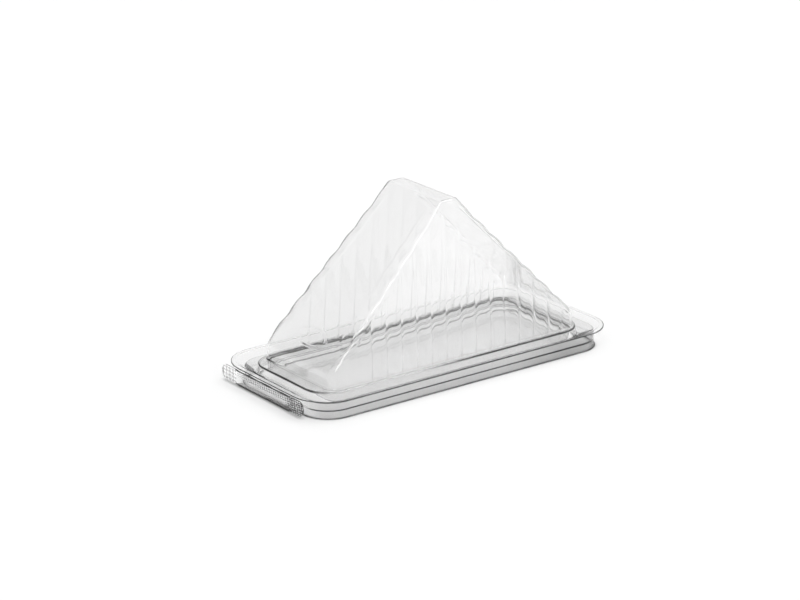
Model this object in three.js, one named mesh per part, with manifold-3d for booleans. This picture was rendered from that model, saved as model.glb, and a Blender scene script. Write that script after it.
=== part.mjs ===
// Sandwich wedge pack: a clear PET clamshell that lies on its long face.
// The lid is a roof-shaped dome on a raised step with a wide flat flange, the base is a shallow
// tray turned down into a skirt, and a tear strip with two finger tabs hinges one to the other.
// Millimetres, +Z up. X runs along the pack with the hinge at -X, Y runs across it.
// The origin is on the table, at the middle of the whole pack's footprint.
import * as THREE from 'three';
import { mergeVertices } from 'three/addons/utils/BufferGeometryUtils.js';
import Module from 'manifold-3d';

const wasm = await Module();
wasm.setup();

// Sheet and running clearances
const sheet = 0.45;                 // wall of the clear sheet
const gap = 0.3;                    // air between two formed pieces that meet
const cornerSteps = 6;              // facets on a rounded corner

// Dome
const domeLength = 163.4;           // at the foot
const domeWidth = 62;               // at the foot
const domeHeight = 86;              // ridge above the step
const domeCorner = 4.5;
const kickHeight = 8.8;             // upright wall below the slanted ends
const ridgeLength = 10;             // flat top, along X
const ridgeWidth = 46.6;            // flat top, along Y
const ridgeCorner = 2;
const edgeSteps = 3;                // facets on the rounded slanted edges

// Lid step, the raised rounded rectangle that the dome stands on
const ledgeHingeEnd = 8.7;          // flat ledge between the dome's foot and the step's edge
const ledgeOpenEnd = 5.6;
const ledgeSide = 3;
const stepCorner = 14.5;
const stepRise = 4.95;
const stepDraft = 0.7;              // how far its wall spreads on the way down

// Lid flange, wide at the opening end and at the back
const flangeHingeEnd = 3.2;         // flat flange outside the step's wall
const flangeOpenEnd = 22.3;
const flangeFront = 0.8;
const flangeBack = 23.8;
const flangeCorner = 21;
const flangeHeight = 9.2;           // underside of the flange above the table

// Flutes pressed into the two triangular faces
const flutePitch = 9.85;
const fluteShift = 0.2;             // middle flute from the dome's centre
const grooveDepth = 1.1;
const grooveHalfWidth = 1.7;

// Base tray
const baseEndOverhang = 9.2;        // lid flange past the skirt at the opening end
const baseBackOverhang = 11.6;      // lid flange past the skirt at the back
const skirtMargin = 0.5;            // skirt outside the plug on the front and hinge sides
const skirtCorner = 15.5;
const lipWidth = 0.8;               // foot lip at the table
const beadHeight = 4.3;             // stiffening groove round the skirt
const beadDepth = 0.4;
const floorHeight = 7.6;            // top of the tray floor
const floorMargin = 1.2;            // floor inside the dome's foot
const floorCorner = 6;
const trayDraft = 1.1;              // inner wall spreads this much up to the rim

// Tear strip
const stripTop = flangeHeight - gap;
const hingeLength = 48;             // creased length between the tabs
const hingeCentreY = 2;             // from the middle of the flange
const tabLength = 13.5;
const tabHeight = 8.4;
const tabCorner = 4;
const tabLead = 1;                  // length of the slope from the strip's edge to the tab's
const pipRadius = 0.8;
const pipSides = 6;                 // facets round a pip, and two fewer over it
const pipRise = 0.3;
const pipPitch = 2.6;
const pipRows = 3;
const pipColumns = 4;

// Worked out from the sizes above
const stripReach = gap + sheet + pipRise;
const stepLength = ledgeHingeEnd + domeLength + ledgeOpenEnd;
const stepWidth = domeWidth + 2 * ledgeSide;
const flangeLength = flangeHingeEnd + stepLength + 2 * stepDraft + flangeOpenEnd;
const flangeWidth = flangeFront + stepWidth + 2 * stepDraft + flangeBack;
const flange = centredBox(stripReach / 2, 0, flangeLength, flangeWidth);
const stepX0 = flange.x0 + flangeHingeEnd + stepDraft;
const stepY0 = flange.y0 + flangeFront + stepDraft;
const step = { x0: stepX0, x1: stepX0 + stepLength, y0: stepY0, y1: stepY0 + stepWidth };
const flangeTop = flangeHeight + sheet;
const stepTop = flangeTop + stepRise;
const domeX = step.x0 + ledgeHingeEnd + domeLength / 2;
const domeY = (step.y0 + step.y1) / 2;
const ridgeTop = stepTop + domeHeight;
const plugInset = sheet + gap;      // base plug inside the lid's step
const plug = grow(step, -plugInset);
const plugTop = stepTop - sheet - gap;
const plugFoot = grow(plug, stepDraft);
const skirt = {
  x0: plugFoot.x0 - skirtMargin,
  x1: flange.x1 - baseEndOverhang,
  y0: plugFoot.y0 - skirtMargin,
  y1: flange.y1 - baseBackOverhang,
};
const ledgeTop = flangeHeight - gap;
const floor = grow(centredBox(domeX, domeY, domeLength, domeWidth), -floorMargin);

function centredBox(x, y, length, width) {
  return { x0: x - length / 2, x1: x + length / 2, y0: y - width / 2, y1: y + width / 2 };
}

function grow(box, d) {
  return { x0: box.x0 - d, x1: box.x1 + d, y0: box.y0 - d, y1: box.y1 + d };
}

// A rounded rectangle as a closed loop of points at height z, anticlockwise from above
function roundedLoop(box, radius, z) {
  const corners = [
    [box.x1 - radius, box.y0 + radius, -90],
    [box.x1 - radius, box.y1 - radius, 0],
    [box.x0 + radius, box.y1 - radius, 90],
    [box.x0 + radius, box.y0 + radius, 180],
  ];
  const loop = [];
  for (const [x, y, start] of corners) {
    for (let k = 0; k <= cornerSteps; k++) {
      const a = THREE.MathUtils.degToRad(start + (90 * k) / cornerSteps);
      loop.push(new THREE.Vector3(x + radius * Math.cos(a), y + radius * Math.sin(a), z));
    }
  }
  return loop;
}

// A skin is a list of triangles that face up and out; it is turned over for a sheet's inner side
class Skin {
  constructor() {
    this.triangles = [];
  }

  add(a, b, c) {
    this.triangles.push([a, b, c]);
  }

  // Wall between two open or closed rows with the same number of points
  band(low, high, closed = true) {
    const last = closed ? low.length : low.length - 1;
    for (let i = 0; i < last; i++) {
      const j = (i + 1) % low.length;
      this.add(low[i], low[j], high[j]);
      this.add(low[i], high[j], high[i]);
    }
  }

  // Flat face inside a loop, less an optional hole
  flat(loop, hole = []) {
    const flatten = (points) => points.map((p) => new THREE.Vector2(p.x, p.y));
    const all = [...loop, ...hole];
    const faces = THREE.ShapeUtils.triangulateShape(flatten(loop), hole.length ? [flatten(hole)] : []);
    for (const [a, b, c] of faces) {
      const up = (all[b].x - all[a].x) * (all[c].y - all[a].y)
        - (all[c].x - all[a].x) * (all[b].y - all[a].y);
      if (up > 0) this.add(all[a], all[b], all[c]);
      else this.add(all[a], all[c], all[b]);
    }
  }

  flipped() {
    const skin = new Skin();
    skin.triangles = this.triangles.map(([a, b, c]) => [a, c, b]);
    return skin;
  }
}

function geometryFrom(...skins) {
  const positions = [];
  for (const skin of skins) {
    for (const triangle of skin.triangles) {
      for (const p of triangle) positions.push(p.x, p.y, p.z);
    }
  }
  const geometry = new THREE.BufferGeometry();
  geometry.setAttribute('position', new THREE.Float32BufferAttribute(positions, 3));
  return mergeVertices(geometry, 1e-3);
}

function toSolid(geometry) {
  const plain = geometry.clone();
  plain.deleteAttribute('normal');
  plain.deleteAttribute('uv');
  const merged = mergeVertices(plain, 1e-3);
  return new wasm.Manifold(new wasm.Mesh({
    numProp: 3,
    vertProperties: new Float32Array(merged.attributes.position.array),
    triVerts: new Uint32Array(merged.index.array),
  }));
}

function toGeometry(solid) {
  const mesh = solid.getMesh();
  const geometry = new THREE.BufferGeometry();
  geometry.setAttribute('position', new THREE.BufferAttribute(mesh.vertProperties, 3));
  geometry.setIndex(new THREE.BufferAttribute(mesh.triVerts, 1));
  return geometry;
}

function clearSheet(color, opacity) {
  return new THREE.MeshStandardMaterial({
    color, opacity, transparent: true, roughness: 0.06, metalness: 0, side: THREE.DoubleSide,
  });
}

// One side of the dome's sheet. inset is 0 on the outside and the sheet's wall on the inside.
function domeSkin(inset) {
  const skin = new Skin();
  const footZ = stepTop - inset;
  const slope = (domeLength - ridgeLength) / 2 / (domeHeight - kickHeight);
  const slantInset = inset * Math.hypot(1, slope);
  const springZ = stepTop + kickHeight - (slantInset - inset) / slope;
  const topZ = ridgeTop - inset;
  const footHalf = domeLength / 2 - inset;
  const topHalf = ridgeLength / 2 + slope * inset - slantInset;
  const share = (z) => (z - springZ) / (topZ - springZ);
  const mix = THREE.MathUtils.lerp;
  const halfLength = (z) => mix(footHalf, topHalf, share(z));
  const halfWidth = (z) => mix(domeWidth / 2, ridgeWidth / 2, Math.max(share(z), 0)) - inset;
  const corner = (z) => mix(domeCorner, ridgeCorner, Math.max(share(z), 0)) - inset;
  const footReach = footHalf - corner(springZ);
  const topReach = topHalf - corner(topZ);

  // Stations along the face: both ends, the ridge's ends, and three for each groove
  const stations = [[-footReach, 0], [-topReach, 0], [topReach, 0], [footReach, 0]];
  const grooves = Math.ceil(domeLength / flutePitch / 2);
  for (let k = -grooves; k < grooves; k++) {
    const u = fluteShift + flutePitch * (k + 0.5);
    if (Math.abs(u) + 2 * grooveHalfWidth > footReach) continue;
    stations.push([u - grooveHalfWidth, 0], [u, grooveDepth], [u + grooveHalfWidth, 0]);
  }
  stations.sort((a, b) => a[0] - b[0]);

  const facePoint = ([u, depth], z, side) => new THREE.Vector3(
    domeX + u, domeY + side * (halfWidth(z) - depth), z);
  const topOf = (u) => {
    const t = (Math.abs(u) - footReach) / (topReach - footReach);
    return mix(springZ, topZ, THREE.MathUtils.clamp(t, 0, 1));
  };

  // Rounded edge, flat end and rounded edge again, from the front face to the back one
  const endRow = (station, z, end) => {
    const c = corner(z);
    const half = z > springZ ? halfLength(z) : footHalf;
    const row = [];
    for (const side of [-1, 1]) {
      for (let k = 0; k <= edgeSteps; k++) {
        const turn = side < 0 ? k : edgeSteps - k;
        const a = (Math.PI / 2) * (turn / edgeSteps);
        const depth = station[1] * (1 - turn / edgeSteps);
        const x = domeX + end * (half - c + c * Math.sin(a));
        const y = domeY + side * (halfWidth(z) - c + c * Math.cos(a) - depth);
        row.push(new THREE.Vector3(x, y, z));
      }
    }
    return end > 0 ? row : row.reverse();
  };

  const loopAt = (z) => {
    const front = stations.map((s) => facePoint(s, z, -1));
    const back = stations.map((s) => facePoint(s, z, 1)).reverse();
    const right = endRow(stations[stations.length - 1], z, 1).slice(1, -1);
    const left = endRow(stations[0], z, -1).slice(1, -1);
    return [...front, ...right, ...back, ...left];
  };

  const foot = loopAt(footZ);
  skin.band(foot, loopAt(springZ));
  for (const side of [-1, 1]) {
    for (let i = 0; i + 1 < stations.length; i++) {
      const [a, b] = side < 0 ? [stations[i], stations[i + 1]] : [stations[i + 1], stations[i]];
      const low = [facePoint(a, springZ, side), facePoint(b, springZ, side)];
      const high = [facePoint(a, topOf(a[0]), side), facePoint(b, topOf(b[0]), side)];
      if (high[1].z > springZ) skin.add(low[0], low[1], high[1]);
      if (high[0].z > springZ) skin.add(low[0], high[1], high[0]);
      if (high[1].z <= springZ) skin.triangles.splice(-1, 1, [low[0], low[1], high[0]]);
    }
  }
  for (const end of [-1, 1]) {
    const rising = stations.filter(([u]) => end * u >= topReach - 1e-6);
    rising.sort((a, b) => end * (b[0] - a[0]));
    const rows = rising.map((s) => endRow(s, topOf(s[0]), end));
    for (let i = 0; i + 1 < rows.length; i++) skin.band(rows[i], rows[i + 1], false);
  }
  const top = stations.filter(([u]) => Math.abs(u) <= topReach + 1e-6);
  skin.flat([
    ...top.map((s) => facePoint(s, topZ, -1)),
    ...endRow(top[top.length - 1], topZ, 1).slice(1, -1),
    ...top.map((s) => facePoint(s, topZ, 1)).reverse(),
    ...endRow(top[0], topZ, -1).slice(1, -1),
  ]);
  return { skin, foot };
}

// Lid: flange, step and dome in one formed sheet
function lidGeometry() {
  const side = (inset) => {
    const z = flangeTop - inset;
    const { skin, foot } = domeSkin(inset);
    const stepFoot = grow(step, stepDraft - inset);
    const edge = roundedLoop(flange, flangeCorner, z);
    const wallFoot = roundedLoop(stepFoot, stepCorner + stepDraft - inset, z);
    const wallTop = roundedLoop(grow(step, -inset), stepCorner - inset, stepTop - inset);
    skin.band(edge, wallFoot);
    skin.band(wallFoot, wallTop);
    skin.flat(wallTop, foot);
    return { skin, edge };
  };
  const outer = side(0);
  const inner = side(sheet);
  const cut = new Skin();
  cut.band(inner.edge, outer.edge);
  return geometryFrom(outer.skin, inner.skin.flipped(), cut);
}

// Base: foot lip, skirt, ledge, plug that fits in the lid's step, and the sunk floor
function baseGeometry() {
  const side = (t) => {
    const skin = new Skin();
    const loop = (box, radius, z) => roundedLoop(grow(box, -t), radius - t, z);
    const rows = [
      roundedLoop(grow(skirt, lipWidth), skirtCorner + lipWidth, sheet - t),
      loop(skirt, skirtCorner, sheet - t),
      loop(skirt, skirtCorner, beadHeight - beadDepth),
      loop(grow(skirt, -beadDepth), skirtCorner - beadDepth, beadHeight),
      loop(skirt, skirtCorner, beadHeight + beadDepth),
      loop(skirt, skirtCorner, ledgeTop - t),
      loop(plugFoot, stepCorner - plugInset + stepDraft, ledgeTop - t),
      loop(plug, stepCorner - plugInset, plugTop - t),
    ];
    for (let i = 0; i + 1 < rows.length; i++) skin.band(rows[i], rows[i + 1]);
    const rimInner = roundedLoop(grow(floor, trayDraft + t), floorCorner + trayDraft + t, plugTop - t);
    const floorEdge = roundedLoop(grow(floor, t), floorCorner + t, floorHeight - t);
    skin.band(rows[rows.length - 1], rimInner);
    skin.band(rimInner, floorEdge);
    skin.flat(floorEdge);
    return { skin, edge: rows[0] };
  };
  const top = side(0);
  const under = side(sheet);
  const cut = new Skin();
  cut.band(under.edge, top.edge);
  const tray = toSolid(geometryFrom(top.skin, under.skin.flipped(), cut));

  // Tongue of the foot lip that runs out to the strip's lower crease
  const reach = skirt.x0 - flange.x0 - sheet / 2;
  const tongue = new THREE.BoxGeometry(reach, hingeLength, sheet);
  tongue.translate(flange.x0 + reach / 2, hingeCentreY, sheet / 2);
  return toGeometry(tray.add(toSolid(tongue)));
}

// Tear strip: a narrow band between the two creases, with a dimpled finger tab at each end
function stripGeometry() {
  const half = hingeLength / 2;
  const bottom = sheet + gap;
  const middle = (bottom + stripTop) / 2;
  const tabTop = middle + tabHeight / 2;
  const tabBottom = middle - tabHeight / 2;
  const end = half + tabLength;
  const outline = new THREE.Shape();
  outline.moveTo(-half, bottom);
  outline.lineTo(half, bottom);
  outline.lineTo(half + tabLead, tabBottom);
  outline.lineTo(end - tabCorner, tabBottom);
  outline.absarc(end - tabCorner, tabBottom + tabCorner, tabCorner, -Math.PI / 2, 0);
  outline.absarc(end - tabCorner, tabTop - tabCorner, tabCorner, 0, Math.PI / 2);
  outline.lineTo(half + tabLead, tabTop);
  outline.lineTo(half, stripTop);
  outline.lineTo(-half, stripTop);
  outline.lineTo(-half - tabLead, tabTop);
  outline.lineTo(tabCorner - end, tabTop);
  outline.absarc(tabCorner - end, tabTop - tabCorner, tabCorner, Math.PI / 2, Math.PI);
  outline.absarc(tabCorner - end, tabBottom + tabCorner, tabCorner, Math.PI, 1.5 * Math.PI);
  outline.lineTo(-half - tabLead, tabBottom);
  outline.closePath();
  const band = new THREE.ExtrudeGeometry(outline, {
    depth: sheet, bevelEnabled: false, curveSegments: cornerSteps,
  });
  // The drawing plane becomes the upright YZ plane, and the depth runs along +X
  band.applyMatrix4(new THREE.Matrix4().makeBasis(
    new THREE.Vector3(0, 1, 0), new THREE.Vector3(0, 0, 1), new THREE.Vector3(1, 0, 0)));
  band.translate(flange.x0 - gap - sheet, hingeCentreY, 0);
  let solid = toSolid(band);
  const face = flange.x0 - gap - sheet;
  for (const tab of [-1, 1]) {
    for (let row = 0; row < pipRows; row++) {
      for (let column = 0; column < pipColumns; column++) {
        const along = half + tabLength / 2 + (column - (pipColumns - 1) / 2) * pipPitch;
        const y = hingeCentreY + tab * along;
        const z = middle + (row - (pipRows - 1) / 2) * pipPitch;
        const pip = new THREE.SphereGeometry(pipRadius, pipSides, pipSides - 2);
        pip.translate(face + pipRadius - pipRise, y, z);
        // Keeps the cap that stands out of the tab, rooted half way into the sheet
        const cap = new THREE.BoxGeometry(sheet / 2 + pipRise, 2 * pipRadius, 2 * pipRadius);
        cap.translate(face + (sheet / 2 - pipRise) / 2, y, z);
        solid = solid.add(toSolid(pip).intersect(toSolid(cap)));
      }
    }
  }
  return toGeometry(solid);
}

function addPiece(parent, name, geometry, material) {
  const mesh = new THREE.Mesh(geometry, material);
  mesh.name = name;
  parent.add(mesh);
}

const pack = new THREE.Group();
const baseGroup = new THREE.Group();
const stripGroup = new THREE.Group();
const lidGroup = new THREE.Group();
pack.add(baseGroup);
baseGroup.add(stripGroup);
stripGroup.add(lidGroup);

addPiece(baseGroup, 'base_tray', baseGeometry(), clearSheet(0xdfe3e6, 0.45));
addPiece(stripGroup, 'tear_strip', stripGeometry(), clearSheet(0xd2d7da, 0.55));
addPiece(lidGroup, 'lid', lidGeometry(), clearSheet(0xeaeef0, 0.4));

export default pack;
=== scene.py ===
# Sandwich wedge pack: a clear thermoformed clamshell that lies on its long face, on a white table.
# Sizes are in millimetres in the lists and in metres on the objects, in the frame of the model.
import math

import bmesh
import bpy
import numpy as np
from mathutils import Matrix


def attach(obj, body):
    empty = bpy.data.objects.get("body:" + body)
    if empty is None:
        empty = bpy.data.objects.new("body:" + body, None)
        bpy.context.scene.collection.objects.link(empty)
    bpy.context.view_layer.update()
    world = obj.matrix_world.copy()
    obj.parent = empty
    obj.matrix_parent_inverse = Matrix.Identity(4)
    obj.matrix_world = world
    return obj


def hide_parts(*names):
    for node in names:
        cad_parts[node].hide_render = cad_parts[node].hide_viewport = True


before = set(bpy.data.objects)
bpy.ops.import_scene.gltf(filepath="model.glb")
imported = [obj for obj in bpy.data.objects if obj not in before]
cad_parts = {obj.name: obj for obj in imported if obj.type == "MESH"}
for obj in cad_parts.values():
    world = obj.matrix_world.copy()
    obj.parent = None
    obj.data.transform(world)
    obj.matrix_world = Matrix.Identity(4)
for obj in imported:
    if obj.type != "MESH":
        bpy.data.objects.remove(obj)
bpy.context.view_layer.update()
scene = bpy.context.scene

# Camera
# A long lens at the photo's angle: from the front left, a little above the pack.
camera_data = bpy.data.cameras.new("camera")
camera_data.lens = 124.6
camera_data.sensor_width = 36
camera = bpy.data.objects.new("camera", camera_data)
camera.location = (-0.8589, -1.1227, 0.5295)
camera.rotation_euler = (math.radians(70.67), 0, math.radians(-36.98))
scene.collection.objects.link(camera)
scene.camera = camera
scene.view_settings.view_transform = "Standard"
scene.cycles.max_bounces = 32
scene.cycles.transmission_bounces = 32
scene.cycles.glossy_bounces = 10
scene.cycles.diffuse_bounces = 3
scene.cycles.transparent_max_bounces = 16
scene.cycles.blur_glossy = 0

# Table
# A matt white sweep of card that fills the picture. Within a few millimetres of the pack its colour
# is darkened, a painted contact shadow as under the lip of the real one.
table_half = 4
card_white = (0.9, 0.9, 0.9, 1)
table_mesh = bpy.data.meshes.new("table")
table_mesh.from_pydata([(-table_half, -table_half, 0), (table_half, -table_half, 0),
                        (table_half, table_half, 0), (-table_half, table_half, 0)], [], [(0, 1, 2, 3)])
table = bpy.data.objects.new("table", table_mesh)
scene.collection.objects.link(table)


def new_material(name):
    """A node material, with its node tree and its Principled shader."""
    material = bpy.data.materials.new(name)
    material.use_nodes = True
    return material, material.node_tree, material.node_tree.nodes["Principled BSDF"]


def join(tree, output, target):
    """Links an output socket to an input socket."""
    tree.links.new(output, target)


card, tree, shader = new_material("white_card")
shader.inputs["Roughness"].default_value = 0.9
shader.inputs["Specular IOR Level"].default_value = 0.0
near = tree.nodes.new("ShaderNodeAmbientOcclusion")
near.inputs["Distance"].default_value = 0.0025
near.inputs["Color"].default_value = card_white
near.samples = 8
join(tree, near.outputs["Color"], shader.inputs["Base Color"])
table_mesh.materials.append(card)

# Studio light
# One soft white tent with two soft lamps in it, whose reflections run along the folds. It is
# greyer at the back left, which is what the slanted end mirrors.
world = bpy.data.worlds.new("tent")
scene.world = world
world.use_nodes = True
sky = world.node_tree
background = sky.nodes["Background"]
ray = sky.nodes.new("ShaderNodeTexCoord").outputs["Generated"]


def smooth_ramp(tree, value, start, end, low, high):
    """Value that runs smoothly from low to high while another one goes from start to end."""
    ramp = tree.nodes.new("ShaderNodeMapRange")
    ramp.interpolation_type = "SMOOTHSTEP"
    for socket, number in zip(("From Min", "From Max", "To Min", "To Max"), (start, end, low, high)):
        ramp.inputs[socket].default_value = number
    join(tree, value, ramp.inputs["Value"])
    return ramp.outputs["Result"]


def lobe(direction, start, end, low, high):
    """Brightness that goes from low to high as the ray turns towards a direction.

    start and end are cosines of the angle between the two.
    """
    turn = sky.nodes.new("ShaderNodeVectorMath")
    turn.operation = "DOT_PRODUCT"
    turn.inputs[1].default_value = direction
    join(sky, ray, turn.inputs[0])
    return smooth_ramp(sky, turn.outputs["Value"], start, end, low, high)


strength = lobe((0, 0, 1), 0.3, 0.85, 0.85, 1.09)
left_lamp = lobe((-0.38, -0.565, 0.73), 0.955, 0.985, 1.0, 4.0)
right_lamp = lobe((0.57, 0.1, 0.815), 0.965, 0.99, 1.0, 3.6)
behind = lobe((0.45, 0.82, 0.36), 0.55, 0.92, 1.0, 0.95)
left_back = lobe((-0.32, 0.76, 0.56), 0.75, 0.97, 1.0, 0.35)
for part in (left_lamp, right_lamp, behind, left_back):
    product = sky.nodes.new("ShaderNodeMath")
    product.operation = "MULTIPLY"
    join(sky, strength, product.inputs[0])
    join(sky, part, product.inputs[1])
    strength = product.outputs[0]
join(sky, strength, background.inputs["Strength"])
background.inputs["Color"].default_value = (1, 1, 1, 1)

# Lid
# One sheet of clear PET, drawn over a mould: a wide flat flange, a low step, and the fluted dome
# that holds the wedge. The flutes stiffen the two tall faces and run out at the slanted edges.
SHEET = 0.45
ARC_STEPS = 7
BEND_STEPS = 6
# Rectangles are given as x0, x1, y0, y1.
flange = (-101.775, 102.825, -47.0, 47.0)
step = (-97.875, 79.825, -45.5, 22.5)
dome_centre = np.array([-7.475, -11.5])
to_centre = np.array([*dome_centre, 0])
flange_top, step_top, spring, ridge_top = 9.65, 14.6, 23.4, 100.6
flange_corner, step_corner, step_lean = 21, 14.5, 0.7
foot_half, ridge_half = 81.7, 5.0
foot_width, ridge_width = 31.0, 23.3
foot_corner, edge_round, ridge_corner = 4.5, 2.6, 1.3
foot_bend, face_bend = 2.5, 0.4
slope = (foot_half - ridge_half) / (ridge_top - spring)
flute_pitch, flute_shift, flute_depth = 9.85, 0.2, 1.1
groove_half, groove_share = 1.6, 0.78
flute_margin, flute_run_out = 1.5, 3
left_start, left_run_out = -73, 22


def soft_min(a, b, k):
    """The smaller of two values, with a rounded change over a width k."""
    h = np.clip(0.5 + 0.5 * (b - a) / k, 0, 1)
    return b + (a - b) * h - k * h * (1 - h)


def ease(t):
    """Smooth step: 0 up to t = 0, 1 from t = 1 on, and three t squared less two t cubed between."""
    t = np.clip(t, 0, 1)
    return t * t * (3 - 2 * t)


def ring(rect, radius, grow, z, spacing):
    """Closed loop at height z: a rounded rectangle moved outward by grow, corners included.

    It runs anticlockwise from above, front side first. spacing holds the places of the points on the
    straight sides, from 0 to 1: along x and along y.
    """
    x0, x1, y0, y1 = rect[0] - grow, rect[1] + grow, rect[2] - grow, rect[3] + grow
    radius = radius + grow
    turn = np.linspace(0, math.pi / 2, ARC_STEPS + 1)[1:-1]
    sine, cosine = radius * np.sin(turn), radius * np.cos(turn)
    front = x0 + radius + spacing[0] * (x1 - x0 - 2 * radius)
    end = y0 + radius + spacing[1] * (y1 - y0 - 2 * radius)
    x = [front, x1 - radius + sine, np.full(end.shape, x1), x1 - radius + sine[::-1], front[::-1],
         x0 + radius - sine, np.full(end.shape, x0), x0 + radius - sine[::-1]]
    y = [np.full(front.shape, y0), y0 + radius - cosine, end, y1 - radius + cosine[::-1],
         np.full(front.shape, y1), y1 - radius + cosine, end[::-1], y0 + radius - cosine[::-1]]
    x, y = np.concatenate(x), np.concatenate(y)
    return np.stack([x, y, np.full(x.shape, z)], 1)


def soften(rings, first_painted_shade, bends):
    """Turns the bend at each inner ring into a parabola that starts a radius away on both sides.

    bends holds a radius and a painted shade value for each inner ring, the latter as one number or one
    per point. The painted shade is full in the middle of the bend and fades as the fifth power of
    4 t (1 - t). The second result is the painted shade of every point.
    """
    out, painted_shade_and_mottle = [rings[0]], [first_painted_shade + np.zeros(len(rings[0]))]
    for before, corner, after, (radius, dark) in zip(rings, rings[1:], rings[2:], bends):
        ends = []
        for other in (before, after):
            way = other - corner
            length = np.linalg.norm(way, axis=1, keepdims=True)
            ends.append(corner + way * np.minimum(radius / np.maximum(length, 1e-9), 0.48))
        for t in np.linspace(0, 1, BEND_STEPS + 1):
            out.append((1 - t) ** 2 * ends[0] + 2 * t * (1 - t) * corner + t ** 2 * ends[1])
            painted_shade_and_mottle.append(dark * (4 * t * (1 - t)) ** 5 + np.zeros(len(corner)))
    out.append(rings[-1])
    painted_shade_and_mottle.append(np.zeros(len(rings[-1])))
    return np.stack(out), np.stack(painted_shade_and_mottle)


def sheet_piece(name, patches, body, node):
    """A formed sheet: grids of points (closed round or open) welded into a skin, then given a wall.

    Each grid comes with its painted shade, a darker colour painted where the sheet is folded tightly.
    """
    points, shades, faces, start = [], [], [], 0
    for grid, painted_shade_and_mottle, closed in patches:
        rows, columns = grid.shape[:2]
        index = start + np.arange(rows * columns).reshape(rows, columns)
        if closed:
            index = np.concatenate([index, index[:, :1]], 1)
        faces.append(np.stack([index[:-1, :-1], index[:-1, 1:], index[1:, 1:], index[1:, :-1]], -1)
                     .reshape(-1, 4))
        points.append(grid.reshape(-1, 3) * 0.001)
        shades.append(np.broadcast_to(painted_shade_and_mottle, (rows, columns)).ravel())
        start += rows * columns
    mesh = bpy.data.meshes.new(name)
    mesh.from_pydata(np.concatenate(points).tolist(), [], np.concatenate(faces).tolist())
    mesh.attributes.new("painted_shade_and_mottle", "FLOAT", "POINT").data.foreach_set("value", np.concatenate(shades))
    weld = bmesh.new()
    weld.from_mesh(mesh)
    bmesh.ops.remove_doubles(weld, verts=weld.verts, dist=4e-6)
    weld.to_mesh(mesh)
    weld.free()
    mesh.shade_smooth()
    piece = bpy.data.objects.new(name, mesh)
    scene.collection.objects.link(piece)
    wall = piece.modifiers.new("wall", "SOLIDIFY")
    wall.thickness = SHEET * 0.001
    wall.offset = -1
    wall.use_quality_normals = True
    wall.material_offset_rim = 1
    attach(piece, body)
    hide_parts(node)
    return piece


def flute(u):
    """Depth of the flutes at u along the face: a narrow bell-shaped groove between each two, on a
    slow cosine wave. They run out just before the corners, and slowly at the left."""
    away = (u - flute_shift) % flute_pitch - flute_pitch / 2
    groove = (groove_share * np.exp(-(away / groove_half) ** 2)
              + (1 - groove_share) * np.cos(math.pi * away / flute_pitch) ** 2)
    ends = ease((foot_half - foot_corner - flute_margin - np.abs(u)) / flute_run_out)
    return flute_depth * groove * ends * ease((u - left_start) / left_run_out)


def end_reach(z):
    """Half length of the dome at a height: upright at the foot, then the slanted end."""
    return soft_min(np.full(np.shape(z), foot_half), foot_half - (z - spring) * slope, foot_bend)


def half_width(z):
    """Half width of the dome at a height: upright at the foot, then leaning in."""
    t = (z - spring) / (ridge_top - spring)
    return soft_min(np.full(np.shape(z), foot_width),
                    foot_width + t * (ridge_width - foot_width), face_bend)


# Columns of the tall faces: fourteen to a flute, close together in its groove
spring_reach = float(end_reach(spring)) - foot_corner
ridge_reach = ridge_half - ridge_corner
least_gap = 0.15
beside = np.array([-4.1, -3.1, -2.1, -1.5, -1.05, -0.7, -0.35, 0, 0.35, 0.7, 1.05, 1.5, 2.1, 3.1])
groove_at = flute_shift + flute_pitch * (np.arange(-9, 10) + 0.5)
column = (groove_at[:, None] + beside).ravel()
clear_of_ends = np.min(np.abs(np.abs(column)[:, None] - [spring_reach, ridge_reach]), 1) > least_gap
column = column[(np.abs(column) < spring_reach) & clear_of_ends]
column = np.sort(np.concatenate([column, [-spring_reach, -ridge_reach, ridge_reach, spring_reach]]))
count = len(column)
# Columns of the slanted ends: close together at the borders of the panel
across = np.interp(np.arange(27), [0, 3, 9, 17, 23, 26], [0, 0.1, 0.16, 0.84, 0.9, 1])
spacing = ((column + spring_reach) / (2 * spring_reach), across)


def dome_ring(z, relief=1.0):
    """The dome's upright foot as a loop at height z, with the flutes pressed into both long sides."""
    reach, width = float(end_reach(z)), float(half_width(z))
    loop = ring((dome_centre[0] - reach, dome_centre[0] + reach,
                 dome_centre[1] - width, dome_centre[1] + width), foot_corner, 0, z, spacing)
    on_side = np.abs(loop[:, 1] - dome_centre[1]) > width - 1e-6
    push = flute(loop[:, 0] - dome_centre[0]) * relief * on_side
    loop[:, 1] -= np.sign(loop[:, 1] - dome_centre[1]) * push
    return loop


# Flange and step: a thin raised bead follows the rim, nearer to it where the flange is narrow
rim = ring(flange, flange_corner, 0, flange_top, spacing)
wall_foot = ring(step, step_corner, step_lean, flange_top, spacing)
inward = ring(flange, flange_corner, -1, flange_top, spacing) - rim
step_middle = np.array([step[0] + step[1], step[2] + step[3]]) / 2
step_half = np.array([step[1] - step[0], step[3] - step[2]]) / 2
past = np.maximum(np.abs(rim[:, :2] - step_middle) - (step_half - step_corner), 0)
flange_width = np.linalg.norm(past, axis=1, keepdims=True) - (step_corner + step_lean)
bead_height, bead_room = 0.22, 7
bead_profile = ((0.8, 0), (1.4, 0), (2.0, 0.6), (2.5, 1), (3.0, 0.6), (3.4, 0))
bead_lift = bead_height * ease((flange_width - 3) / 6) * np.array([[0, 0, 1]])
bead = [rim + inward * np.minimum(distance, flange_width * distance / bead_room) + bead_lift * lift
        for distance, lift in bead_profile]
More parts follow.
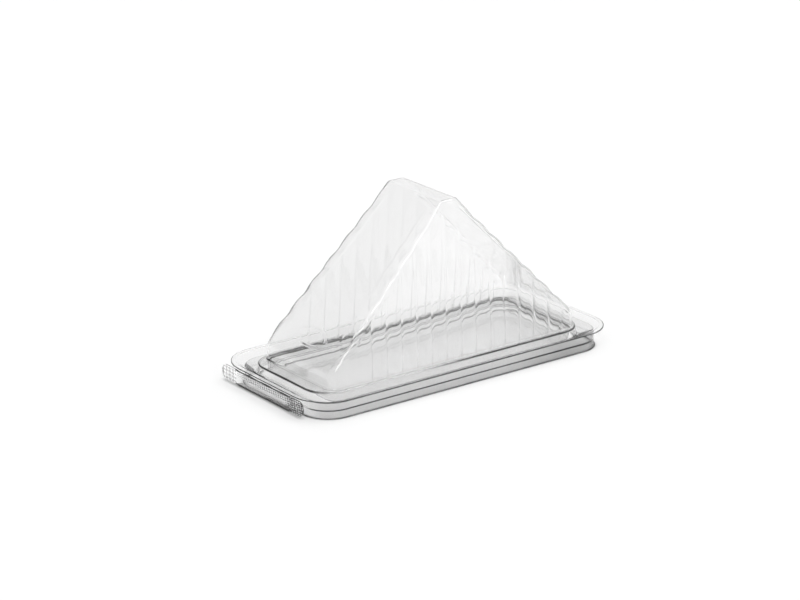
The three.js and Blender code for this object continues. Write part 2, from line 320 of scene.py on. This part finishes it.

# Painted shade at their bends, a darker colour where the folds turn the light away: dark along the
# rim's front and near its left end, along the step's top and at the dome's foot behind. The step's
# front left corner is left light.
x, y = rim[:, 0], rim[:, 1]
front_painted_shade = 1.6 * ease((-38 - y) / 6) * ease((82 - x) / 10)
rim_painted_shade = 0.9 * np.maximum(ease((-30 - y) / 12), ease((24 - y) / 4) * ease((-101 - x) / 0.5))
x, y = wall_foot[:, 0], wall_foot[:, 1]
near_end = ease((-35 - y) / 6) * ease((20 - x) / 60)
right_end = ease((x - 66) / 8)
top_painted_shade = 1.6 * (1 - near_end) * (1 + right_end)
dome_painted_shade = 0.15 + 1.5 * ease(y / 10) * (1 - 0.75 * ease((x + 70) / 40))
lower, painted_shade_and_mottle = soften(
    [rim, *bead, wall_foot, ring(step, step_corner, 0, step_top, spacing), dome_ring(step_top, 0.9),
     dome_ring(spring)],
    rim_painted_shade, [(0.2, front_painted_shade), (0.2, front_painted_shade), (0.3, front_painted_shade), (0.3, 0.1), (0.3, 0),
                (0.2, 0), (0.7, 0.1 + 1.5 * right_end), (1.3, top_painted_shade), (1.3, dome_painted_shade)])
foot = np.stack([dome_ring(z) for z in np.linspace(step_top + 2, spring, 6)])
lower = np.concatenate([lower[:-1], foot])
painted_shade_and_mottle = np.concatenate([painted_shade_and_mottle[:-1], np.zeros(foot.shape[:2])])

# Edge curves: where each column leaves the tall face, and where the rounded edge meets the end face
face_drop = 0.7
t = (spring_reach - np.abs(column)) / (spring_reach - ridge_reach)
roof_line = soft_min(spring + t * (ridge_top - spring), np.full(count, ridge_top), 0.9)
face_line = soft_min(spring + t * (ridge_top - face_drop - spring),
                     np.full(count, ridge_top - face_drop), 0.5)
face_line[[0, -1]] = roof_line[[0, -1]] = spring
roof_x = np.sign(column) * np.minimum(end_reach(roof_line), foot_half)
flat_top = np.abs(column) < ridge_reach
roof_x[flat_top] = column[flat_top] * ridge_half / ridge_reach
edge_radius = foot_corner + (edge_round - foot_corner) * ease(t * 6)
edge_radius += (ridge_corner - edge_round) * ease((roof_line - ridge_top + 9) / 9)

# The tall faces: rows close together near the edge. The flutes are shallower there, over the last
# few millimetres, and lose most of their depth in the upper half of the dome.
edge_relief, edge_reach = 0.7, 6.5
upper_loss, upper_start, upper_reach = 0.72, 38, 22
foot_reach = 6
reach_down = np.array([0, 0.8, 1.6, 2.6, 3.8, 5.2, 7, 9.5, 13, 19, 28, 40, 55, 78])
share_down = np.linspace(0, 1, len(reach_down))
height = face_line - spring
down = np.minimum(reach_down[:, None], share_down[:, None] * height[None, :])
down[-1] = height
down = down[::-1]
face_z = face_line[None, :] - down
relief = edge_relief + (1 - edge_relief) * ease(down / edge_reach)
relief = np.maximum(relief, ease((spring + foot_reach - face_z) / foot_reach))
relief = relief * (1 - upper_loss * ease((face_z - upper_start) / upper_reach))
face_y = half_width(face_z) - flute(column)[None, :] * relief
face_x = np.broadcast_to(column, face_z.shape)

# The roof: rounded edge, flat across, rounded edge, for each column. Each groove also notches the
# rounded edge, which scallops the dome's outline. The notches run out at the ridge and at the foot.
notch_depth = 0.9
angle = np.linspace(0, math.pi / 2, ARC_STEPS + 1)
from_groove = np.abs((column - flute_shift) % flute_pitch / flute_pitch - 0.5) * 2
notch = notch_depth * np.maximum(1 - np.sqrt(from_groove ** 2 + 0.03), 0) ** 1.5
notch = notch * ease((ridge_top - 3 - roof_line) / 4) * ease((roof_line - spring - 3) / 8)
notch = notch[:, None]
outward = np.stack([np.sign(column), np.zeros(count), np.ones(count)], -1)
outward[flat_top] = 0
edge_start = np.stack([column, -face_y[-1], face_line], -1) - outward * notch * 0.4
edge = np.stack([roof_x, -half_width(roof_line) + flute(column) * relief[-1] * 0.8, roof_line], -1)
edge = edge - outward * notch * 0.8


def rounded_edge(radius):
    """Quarter ellipses from the tall face over the edge, and the points where they end."""
    stop = np.stack([roof_x, -half_width(roof_line) + radius, roof_line], -1) - outward * notch
    arc = (edge_start[None] + (edge - edge_start)[None] * np.sin(angle)[:, None, None]
           + (stop - edge)[None] * (1 - np.cos(angle))[:, None, None])
    return arc, stop


# The edge behind is sharper than the one in front, except at the foot.
mirror = np.array([1, -1, 1])
back_share = 0.3
arc, stop = rounded_edge(edge_radius)
back_radius = edge_radius * (back_share + (1 - back_share) * ease((spring + 8 - roof_line) / 8))
back_arc, back_stop = rounded_edge(back_radius)
face = np.stack([face_x, -face_y, face_z], -1)
face[-1] = edge_start
front = face + to_centre
back = face[:, ::-1] * mirror + to_centre

# The slanted ends have a panel, a little sunk, whose border fades out low down.
panel_depth, panel_border, panel_slope = 0.2, 0.105, 0.045
flat = stop[None] + (back_stop * mirror - stop)[None] * across[:, None, None]
inset = np.minimum(across, 1 - across)[:, None]
flat = flat + outward[None] * notch[None] * ease(inset / 0.12)[:, :, None]
panel = ease((inset - panel_border) / panel_slope) * ease((ridge_top - 5 - roof_line) / 5)
panel = panel * ease((roof_line - 50) / 25)
flat = flat - panel_depth * panel[:, :, None] * outward[None]
roof = np.concatenate([arc, flat[1:-1], (back_arc * mirror)[::-1]]) + to_centre

# Painted shade where the edges are seen from the side, as dark outlines: at the front right and at
# the back left
outline = 0.55 * np.exp(-((angle - 1.36) / 0.3) ** 2)[:, None] * ease(column / 10)
back_outline = 0.55 * np.exp(-((angle - 0.85) / 0.4) ** 2)[:, None] * ease(-column / 10)
roof_painted_shade = np.concatenate([outline, np.zeros((len(across) - 2, count)), back_outline[::-1]])

lid = sheet_piece("lid_sheet", [(lower, painted_shade_and_mottle, True), (front, 0, False), (back, 0, False),
                                (roof, roof_painted_shade, False)], "lid", "lid")


def relief_group(name, ring_height):
    """Height in metres of the sheet's slow waves, and of an oval ring embossed in the left slope.

    The ring is a line at distance 1 from its centre, in units of its two half sizes.
    """
    wave_height = 0.00008
    ring_centre, ring_half_y, ring_half_z = (0, -0.0110, 0.0330), 0.0115, 0.0036
    line_core, line_edge = 0.03, 0.16
    slope_end = -0.05
    group = bpy.data.node_groups.new(name, "ShaderNodeTree")
    group.interface.new_socket("Height", in_out="OUTPUT", socket_type="NodeSocketFloat")
    nodes = group.nodes
    place = nodes.new("ShaderNodeTexCoord").outputs["Object"]

    def operate(kind, operation, a, b):
        """Math node or vector math node on a socket and a socket or a value."""
        node = nodes.new(kind)
        node.operation = operation
        join(group, a, node.inputs[0])
        if isinstance(b, bpy.types.NodeSocket):
            join(group, b, node.inputs[1])
        else:
            node.inputs[1].default_value = b
        return node.outputs["Value" if operation == "LENGTH" else 0]

    noise = nodes.new("ShaderNodeTexNoise")
    noise.inputs["Scale"].default_value = 55
    noise.inputs["Detail"].default_value = 2
    join(group, place, noise.inputs["Vector"])
    height = operate("ShaderNodeMath", "MULTIPLY", noise.outputs["Fac"], wave_height)
    if ring_height:
        from_centre = operate("ShaderNodeVectorMath", "SUBTRACT", place, ring_centre)
        scaled = operate("ShaderNodeVectorMath", "MULTIPLY", from_centre,
                         (0, 1 / ring_half_y, 1 / ring_half_z))
        radius = operate("ShaderNodeVectorMath", "LENGTH", scaled, (0, 0, 0))
        offset = operate("ShaderNodeMath", "ABSOLUTE",
                         operate("ShaderNodeMath", "SUBTRACT", radius, 1), 0)
        split = nodes.new("ShaderNodeSeparateXYZ")
        join(group, place, split.inputs["Vector"])
        on_slope = operate("ShaderNodeMath", "LESS_THAN", split.outputs["X"], slope_end)
        line = operate("ShaderNodeMath", "MULTIPLY",
                       smooth_ramp(group, offset, line_core, line_edge, ring_height, 0), on_slope)
        height = operate("ShaderNodeMath", "ADD", height, line)
    join(group, height, nodes.new("NodeGroupOutput").inputs["Height"])
    return group


def clear_sheet(name, density, clear=0.99, dark=0.02, ring_height=0):
    """Clear PET. It absorbs by the length of the way through it, so it is dark seen edge on, and its
    colour goes from clear to dark with the painted shade of its tight folds and outlines."""
    first_colour, second_colour, mixed_colour = 6, 7, 2
    material, tree, shader = new_material(name)
    nodes = tree.nodes
    relief = nodes.new("ShaderNodeGroup")
    relief.node_tree = relief_group(name + "_relief", ring_height)
    bump = nodes.new("ShaderNodeBump")
    bump.inputs["Distance"].default_value = 1.0
    join(tree, relief.outputs["Height"], bump.inputs["Height"])
    join(tree, bump.outputs["Normal"], shader.inputs["Normal"])
    shader.inputs["Roughness"].default_value = 0.02
    shader.inputs["IOR"].default_value = 1.5
    shader.inputs["Transmission Weight"].default_value = 1.0
    depth = nodes.new("ShaderNodeVolumeAbsorption")
    depth.inputs["Color"].default_value = (0, 0, 0, 1)
    depth.inputs["Density"].default_value = density
    join(tree, depth.outputs["Volume"], nodes["Material Output"].inputs["Volume"])
    # The sheet's colour is mixed towards dark by the painted shade that its points carry.
    fold = nodes.new("ShaderNodeAttribute")
    fold.attribute_name = "painted_shade_and_mottle"
    painted_shade_mix = nodes.new("ShaderNodeMix")
    painted_shade_mix.data_type = "RGBA"
    painted_shade_mix.inputs[first_colour].default_value = (clear, clear, clear, 1)
    painted_shade_mix.inputs[second_colour].default_value = (dark, dark, dark, 1)
    join(tree, fold.outputs["Fac"], painted_shade_mix.inputs["Factor"])
    join(tree, painted_shade_mix.outputs[mixed_colour], shader.inputs["Base Color"])
    return material


lid.data.materials.append(clear_sheet("clear_lid", 25, 0.98, ring_height=0.00007))
# Cut edges are given a near-black colour: painted shade for the dark line along a sheet's edge.
cut_material = clear_sheet("cut_edge", 60, 0.03, 0.01)
lid.data.materials.append(cut_material)

# Base
# A second sheet of the same PET: foot lip, skirt with a stiffening groove, ledge, the raised plug
# that fits inside the lid's step, and the sunk floor that the wedge stands on.
skirt = (-98.325, 93.625, -45.95, 35.4)
plug = (-97.125, 79.075, -44.75, 21.75)
floor = (-87.975, 73.025, -41.3, 18.3)
floor_line = (-60, 45, -11.5, -11.5)
skirt_corner, plug_corner, floor_corner = 15.5, 13.75, 6
lip, plug_lean, floor_lean = 0.8, 0.7, 1.1
groove_z, groove_height, groove_depth = 4.3, 0.9, 0.45
ledge_z, plug_top, floor_z = 8.9, 13.85, 7.6
base_spacing = (np.linspace(0, 1, 41), np.linspace(0, 1, 25))

# Painted shade: dark along the front, most in the skirt's groove towards the right, and light at the
# plug's front left corner
foot_loop = ring(skirt, skirt_corner, 0, SHEET, base_spacing)
x, y = foot_loop[:, 0], foot_loop[:, 1]
fore = ease((-32 - y) / 10)
toward_end = ease((x - 20) / 50)
near_end = ease((-35 - y) / 6) * ease((20 - x) / 60)
tray, painted_shade_and_mottle = soften([
    ring(skirt, skirt_corner, lip, SHEET, base_spacing),
    foot_loop,
    ring(skirt, skirt_corner, 0, groove_z - groove_height, base_spacing),
    ring(skirt, skirt_corner, -groove_depth, groove_z, base_spacing),
    ring(skirt, skirt_corner, 0, groove_z + groove_height, base_spacing),
    ring(skirt, skirt_corner, 0, ledge_z, base_spacing),
    ring(plug, plug_corner, plug_lean, ledge_z, base_spacing),
    ring(plug, plug_corner, 0, plug_top, base_spacing),
    ring(floor, floor_corner, floor_lean, plug_top, base_spacing),
    ring(floor, floor_corner, 0, floor_z, base_spacing),
    ring(floor_line, 0, 0, floor_z, base_spacing),
], 0, [(0.5, 0.1), (0.6, 0), (0.7, 0.3 + fore * (8 + 30 * toward_end)), (0.6, 0), (0.7, 0.9 * fore),
       (0.6, 0.9 * fore), (1.0, 1.2 * (1 - 0.9 * near_end)), (1.0, 1.4 * (1 - 0.6 * near_end)),
       (1.2, 0.4)])
skirt_rows = 1 + 5 * (BEND_STEPS + 1)
row = np.arange(len(tray))[:, None]
on_skirt = (tray[:, :, 2] < ledge_z - 0.1) & (row < skirt_rows)
on_floor = (tray[:, :, 2] < floor_z + 0.1) & (row >= skirt_rows)
# Painted shade over the front of the skirt, and a little over the sunk floor
painted_shade_and_mottle = np.maximum(painted_shade_and_mottle, on_skirt * fore * (0.22 + 0.16 * toward_end) + 0.05 * on_floor)
# The lip runs out into a tongue under the tear strip.
tongue = np.array([[[x, y, SHEET] for x in (-101.775, -99.135)] for y in (26, -22)])
base = sheet_piece("base_sheet", [(tray, painted_shade_and_mottle, True), (tongue, 0, False)], "base", "base_tray")
base.modifiers["wall"].material_offset_rim = 0
base.data.materials.append(clear_sheet("clear_base", 60, 0.97))
base.data.materials.append(cut_material)

# Tear strip
# A narrow band of the same sheet between the two creases, with a dimpled finger tab at each end.
# Its upper half is matted, so that a finger can find the edge.
strip_x, strip_y, strip_z = -102.525, 2.0, 4.825
strip_half, band_end, tab_corner = 37.5, 24, 4
band_height, tab_height = 4.075, 4.2
dot_pitch_y, dot_pitch_z = 3.0, 2.0
dot_height, matt_height = 0.28, 0.1
u = np.linspace(-strip_half, strip_half, 401)[None, :]
v = np.linspace(-1, 1, 53)[:, None]
corner_start = strip_half - tab_corner
reach = np.interp(np.abs(u), [0, band_end, band_end + 1, corner_start],
                  [band_height, band_height, tab_height, tab_height])
into_corner = np.maximum(np.abs(u) - corner_start, 0)
reach = reach - tab_corner + np.sqrt(np.maximum(tab_corner ** 2 - into_corner ** 2, 0))
z = strip_z + v * reach
off_band = ease((np.abs(u) - band_end) / 1.5)
on_tab = off_band * ease((1 - np.abs(v)) * 4)
across_tab, up_tab = math.pi * u / dot_pitch_y, math.pi * z / dot_pitch_z
dots = ease(0.5 + np.cos(across_tab + up_tab) * np.cos(across_tab - up_tab))
mottle = np.sin(1.7 * u + 2.3 * z) * np.sin(2.9 * z - 1.3 * u + 1.0)
matted = ease(z - strip_z) * ease((band_end - np.abs(u)) / 2)
lift = dot_height * dots * on_tab + matt_height * (1 + mottle) * matted
grid = np.stack([strip_x - lift, np.broadcast_to(strip_y + u, z.shape), z], -1)

# Painted shade in spots on the far tab's dimples and along both creases, and a darker mottle in
# blotches on the matted half and the near tab
near_tab = ease((-20 - u) / 6)
grain = ease(0.5 + mottle)
painted_shade_and_mottle = 0.4 * ease(4 * dots - 3) * on_tab * (1 - near_tab) + 0.4 * grain * matted
painted_shade_and_mottle = painted_shade_and_mottle + near_tab * (0.05 + 1.4 * ease(2 * grain - 1))
crease = (ease((v - 0.8) / 0.06) + ease((-0.87 - v) / 0.06)) * (1 - off_band)
painted_shade_and_mottle = np.maximum(painted_shade_and_mottle, 2.5 * crease)
# The columns are turned round, so that the faces point away from the base.
strip = sheet_piece("strip_sheet", [(grid[:, ::-1], painted_shade_and_mottle[:, ::-1], False)], "strip", "tear_strip")
strip.data.materials.append(clear_sheet("clear_strip", 15))
strip.data.materials.append(cut_material)
